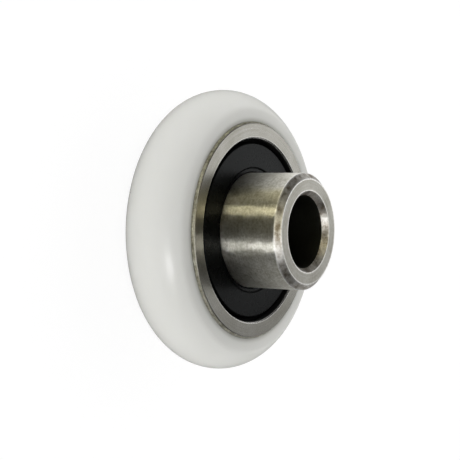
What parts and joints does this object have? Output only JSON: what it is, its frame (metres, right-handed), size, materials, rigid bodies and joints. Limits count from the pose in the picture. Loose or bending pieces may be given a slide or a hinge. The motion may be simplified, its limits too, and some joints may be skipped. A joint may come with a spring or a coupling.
{
  "type": "bearing roller",
  "caption": "Sealed ball bearing roller with a crowned plastic tyre moulded round its outer ring and an inner ring that runs on past one side as a spacer tube.",
  "frame": {"origin": "centre of the rear face, on the roller's axis, where both rings end flush", "axes": "+Z along the axis towards the tube's open end; X and Y are any two directions across it"},
  "size_m": [0.0236, 0.0236, 0.0111],
  "materials": {
    "tyre": "satin moulded off-white",
    "outer_ring": "fine ground face",
    "inner_ring": "fine turned satin",
    "ball": "polished and lightly greased",
    "cage": "pressed sheet",
    "rivet": "headed wire",
    "seal": "matt moulded black"
  },
  "bodies": {
    "inner": {"inner_ring": "inner_ring"},
    "outer": {"tyre": "tyre", "outer_ring": "outer_ring", "front_seal": "seal", "rear_seal": "seal"},
    "cage": {"cage_front": "cage", "cage_rear": "cage", "cage_rivets": "rivet"},
    "rolling_ball_1": {"ball_1": "ball"},
    "rolling_ball_2": {"ball_2": "ball"},
    "rolling_ball_3": {"ball_3": "ball"},
    "rolling_ball_4": {"ball_4": "ball"},
    "rolling_ball_5": {"ball_5": "ball"},
    "rolling_ball_6": {"ball_6": "ball"},
    "rolling_ball_7": {"ball_7": "ball"}
  },
  "joints": [
    {"name": "roller_spin", "type": "hinge", "parent": "inner", "child": "outer", "pos_m": [0, 0, 0.003], "axis": [0, 0, 1], "continuous": true},
    {"name": "cage_turn", "type": "hinge", "parent": "inner", "child": "cage", "pos_m": [0, 0, 0.003], "axis": [0, 0, 1], "continuous": true},
    {"name": "ball_1_roll", "type": "hinge", "parent": "cage", "child": "rolling_ball_1", "pos_m": [0.00625, 0, 0.003], "axis": [0, 0, 1], "continuous": true},
    {"name": "ball_2_roll", "type": "hinge", "parent": "cage", "child": "rolling_ball_2", "pos_m": [0.0039, 0.00489, 0.003], "axis": [0, 0, 1], "continuous": true},
    {"name": "ball_3_roll", "type": "hinge", "parent": "cage", "child": "rolling_ball_3", "pos_m": [-0.00139, 0.00609, 0.003], "axis": [0, 0, 1], "continuous": true},
    {"name": "ball_4_roll", "type": "hinge", "parent": "cage", "child": "rolling_ball_4", "pos_m": [-0.00563, 0.00271, 0.003], "axis": [0, 0, 1], "continuous": true},
    {"name": "ball_5_roll", "type": "hinge", "parent": "cage", "child": "rolling_ball_5", "pos_m": [-0.00563, -0.00271, 0.003], "axis": [0, 0, 1], "continuous": true},
    {"name": "ball_6_roll", "type": "hinge", "parent": "cage", "child": "rolling_ball_6", "pos_m": [-0.00139, -0.00609, 0.003], "axis": [0, 0, 1], "continuous": true},
    {"name": "ball_7_roll", "type": "hinge", "parent": "cage", "child": "rolling_ball_7", "pos_m": [0.0039, -0.00489, 0.003], "axis": [0, 0, 1], "continuous": true}
  ],
  "couplings": [
    {"joint": "cage_turn", "follows": "roller_spin", "ratio": 0.64},
    {"joint": "ball_1_roll", "follows": "roller_spin", "ratio": 1.6457},
    {"joint": "ball_2_roll", "follows": "roller_spin", "ratio": 1.6457},
    {"joint": "ball_3_roll", "follows": "roller_spin", "ratio": 1.6457},
    {"joint": "ball_4_roll", "follows": "roller_spin", "ratio": 1.6457},
    {"joint": "ball_5_roll", "follows": "roller_spin", "ratio": 1.6457},
    {"joint": "ball_6_roll", "follows": "roller_spin", "ratio": 1.6457},
    {"joint": "ball_7_roll", "follows": "roller_spin", "ratio": 1.6457}
  ]
}
